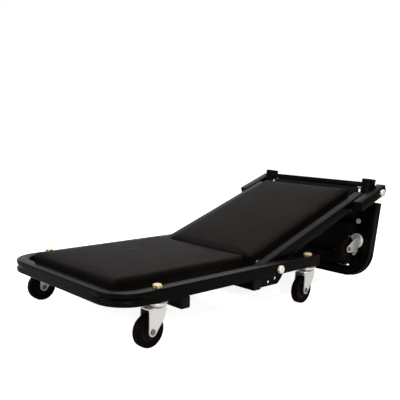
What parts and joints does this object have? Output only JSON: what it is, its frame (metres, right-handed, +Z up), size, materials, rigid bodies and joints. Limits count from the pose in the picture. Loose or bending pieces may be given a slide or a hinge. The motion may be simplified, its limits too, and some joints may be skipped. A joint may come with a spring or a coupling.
{
  "type": "creeper seat",
  "caption": "Low folding mechanic's creeper that turns into a seat: square-tube base with padded board, hinged padded middle and hanging head section, on swivel casters.",
  "frame": {"origin": "centre of the footprint on the floor, in the pose shown: middle section raised, head section hanging", "axes": "+X runs from the front rail of the base towards the head section, +Y is to the left of someone facing +X, +Z is up"},
  "size_m": [0.8586, 0.4274, 0.2728],
  "materials": {
    "frame": "black powder coat, satin",
    "cap": "matte moulded",
    "board": "plywood, painted black",
    "cushion": "dark grey vinyl over foam, satin",
    "zinc": "bright zinc plate",
    "zinc_yellow": "yellow zinc plate",
    "hub": "moulded, satin",
    "tyre": "smooth black tread"
  },
  "bodies": {
    "base": {"base_rail": "frame", "base_bars": "frame", "base_caps": "cap", "hinge_plates": "frame", "base_board": "board", "base_cushion": "cushion", "base_screws": "zinc", "base_caster_tops": "zinc", "base_stems": "zinc_yellow", "fold_bolts": "zinc", "fold_nuts": "zinc"},
    "middle": {"mid_rails": "frame", "mid_arms": "frame", "mid_straps": "frame", "mid_strap_bolts": "zinc", "mid_caps": "cap", "mid_board": "board", "mid_cushion": "cushion", "mid_screws": "zinc", "lock_barrels": "zinc", "head_bolts": "zinc", "head_nuts": "zinc"},
    "head": {"head_rail": "frame", "head_inner_tubes": "frame", "head_hinge_bar": "frame", "head_straps": "frame", "head_strap_bolts": "zinc", "head_caps": "cap", "head_board": "board", "head_cushion": "cushion", "head_screws": "zinc", "head_caster_tops": "zinc", "head_stems": "zinc_yellow"},
    "pin_near": {"lock_pin_near": "zinc"},
    "pin_far": {"lock_pin_far": "zinc"},
    "fork_fn": {"fork_fn": "zinc", "axle_fn": "zinc"},
    "wheel_fn": {"hub_fn": "hub", "tyre_fn": "tyre"},
    "fork_ff": {"fork_ff": "zinc", "axle_ff": "zinc"},
    "wheel_ff": {"hub_ff": "hub", "tyre_ff": "tyre"},
    "fork_rn": {"fork_rn": "zinc", "axle_rn": "zinc"},
    "wheel_rn": {"hub_rn": "hub", "tyre_rn": "tyre"},
    "fork_rf": {"fork_rf": "zinc", "axle_rf": "zinc"},
    "wheel_rf": {"hub_rf": "hub", "tyre_rf": "tyre"},
    "fork_hn": {"fork_hn": "zinc", "axle_hn": "zinc"},
    "wheel_hn": {"hub_hn": "hub", "tyre_hn": "tyre"},
    "fork_hf": {"fork_hf": "zinc", "axle_hf": "zinc"},
    "wheel_hf": {"hub_hf": "hub", "tyre_hf": "tyre"}
  },
  "joints": [
    {"name": "fold", "type": "hinge", "parent": "base", "child": "middle", "pos_m": [0.00069, 0, 0.0956], "axis": [0, -1, 0], "range_deg": [-19.6, 98.4]},
    {"name": "head_hinge", "type": "hinge", "parent": "middle", "child": "head", "pos_m": [0.40201, 0, 0.2385], "axis": [0, -1, 0], "range_deg": [0, 118]},
    {"name": "pin_slide_near", "type": "slide", "parent": "middle", "child": "pin_near", "axis": [0, 1, 0], "range_m": [0, 0.008], "stiffness_N_per_m": 400, "springref_m": -0.01},
    {"name": "pin_slide_far", "type": "slide", "parent": "middle", "child": "pin_far", "axis": [0, -1, 0], "range_m": [0, 0.008], "stiffness_N_per_m": 400, "springref_m": -0.01},
    {"name": "swivel_fn", "type": "hinge", "parent": "base", "child": "fork_fn", "pos_m": [-0.33131, -0.193, 0.081], "axis": [0, 0, 1], "continuous": true},
    {"name": "spin_fn", "type": "hinge", "parent": "fork_fn", "child": "wheel_fn", "pos_m": [-0.3523, -0.19373, 0.03175], "axis": [-0.0349, 0.9994, 0], "continuous": true},
    {"name": "swivel_ff", "type": "hinge", "parent": "base", "child": "fork_ff", "pos_m": [-0.33131, 0.193, 0.081], "axis": [0, 0, 1], "continuous": true},
    {"name": "spin_ff", "type": "hinge", "parent": "fork_ff", "child": "wheel_ff", "pos_m": [-0.3523, 0.19373, 0.03175], "axis": [0.0349, 0.9994, 0], "continuous": true},
    {"name": "swivel_rn", "type": "hinge", "parent": "base", "child": "fork_rn", "pos_m": [0.11819, -0.193, 0.081], "axis": [0, 0, 1], "continuous": true},
    {"name": "spin_rn", "type": "hinge", "parent": "fork_rn", "child": "wheel_rn", "pos_m": [0.09727, -0.19483, 0.03175], "axis": [-0.0872, 0.9962, 0], "continuous": true},
    {"name": "swivel_rf", "type": "hinge", "parent": "base", "child": "fork_rf", "pos_m": [0.11819, 0.193, 0.081], "axis": [0, 0, 1], "continuous": true},
    {"name": "spin_rf", "type": "hinge", "parent": "fork_rf", "child": "wheel_rf", "pos_m": [0.09727, 0.19483, 0.03175], "axis": [0.0872, 0.9962, 0], "continuous": true},
    {"name": "swivel_hn", "type": "hinge", "parent": "head", "child": "fork_hn", "pos_m": [0.36742, -0.1636, 0.10967], "axis": [0.9893, 0, -0.1461], "continuous": true},
    {"name": "spin_hn", "type": "hinge", "parent": "fork_hn", "child": "wheel_hn", "pos_m": [0.31642, -0.1636, 0.09598], "axis": [0, 1, 0], "continuous": true},
    {"name": "swivel_hf", "type": "hinge", "parent": "head", "child": "fork_hf", "pos_m": [0.36742, 0.1636, 0.10967], "axis": [0.9893, 0, -0.1461], "continuous": true},
    {"name": "spin_hf", "type": "hinge", "parent": "fork_hf", "child": "wheel_hf", "pos_m": [0.31642, 0.1636, 0.09598], "axis": [0, 1, 0], "continuous": true}
  ]
}
